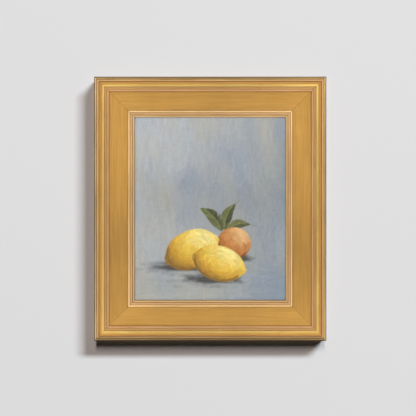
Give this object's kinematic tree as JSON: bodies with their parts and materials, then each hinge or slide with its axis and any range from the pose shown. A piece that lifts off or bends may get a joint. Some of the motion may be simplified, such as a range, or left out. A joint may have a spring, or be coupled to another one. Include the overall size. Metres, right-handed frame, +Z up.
{
  "type": "framed painting",
  "caption": "Upright gilded wooden picture frame with a painted canvas stretched on wedged bars in its rabbet, hung on a wall by a saw-toothed hanger.",
  "frame": {"origin": "the hanging point: on the wall's plane, level with the point of the hanger's middle notch, on the frame's centre line", "axes": "+X to the viewer's right, +Z up, -Y out of the wall towards the viewer; the wall is the plane y = 0"},
  "size_m": [0.3682, 0.0365, 0.4191],
  "materials": {
    "gilded_wood": "warm gold leaf on red-brown clay over moulded wood, satin, with dark toning in the grooves and bare wood at the back",
    "painted_canvas": "oil paint on primed woven cloth: a blue-grey ground with fruit and leaves in yellow, orange and green, bare cloth at the back",
    "pine": "planed, unfinished",
    "beech": "sawn, unfinished",
    "bare_steel": "bright, slightly dulled",
    "zinc_plated_steel": "zinc plated, satin",
    "brass_plated_steel": "thin brass plating on steel",
    "brass": "turned, bright",
    "rubber": "soft, matt, dark brown"
  },
  "bodies": {
    "root": {"rail_bottom": "gilded_wood", "rail_left": "gilded_wood", "rail_top": "gilded_wood", "rail_right": "gilded_wood", "canvas": "painted_canvas", "stretcher_bottom": "pine", "stretcher_left": "pine", "stretcher_top": "pine", "stretcher_right": "pine", "stretcher_key_bottom_left_1": "beech", "stretcher_key_bottom_left_2": "beech", "stretcher_key_bottom_right_1": "beech", "stretcher_key_bottom_right_2": "beech", "stretcher_key_top_left_1": "beech", "stretcher_key_top_left_2": "beech", "stretcher_key_top_right_1": "beech", "stretcher_key_top_right_2": "beech", "corner_nail_bottom_left_1": "bare_steel", "corner_nail_bottom_left_2": "bare_steel", "corner_nail_bottom_right_1": "bare_steel", "corner_nail_bottom_right_2": "bare_steel", "corner_nail_top_left_1": "bare_steel", "corner_nail_top_left_2": "bare_steel", "corner_nail_top_right_1": "bare_steel", "corner_nail_top_right_2": "bare_steel", "clip_left_1": "zinc_plated_steel", "clip_screw_left_1": "brass", "clip_left_2": "zinc_plated_steel", "clip_screw_left_2": "brass", "clip_right_1": "zinc_plated_steel", "clip_screw_right_1": "brass", "clip_right_2": "zinc_plated_steel", "clip_screw_right_2": "brass", "hanger": "brass_plated_steel", "hanger_nail_1": "bare_steel", "hanger_nail_2": "bare_steel", "bumper_left": "rubber", "bumper_right": "rubber"}
  },
  "joints": []
}
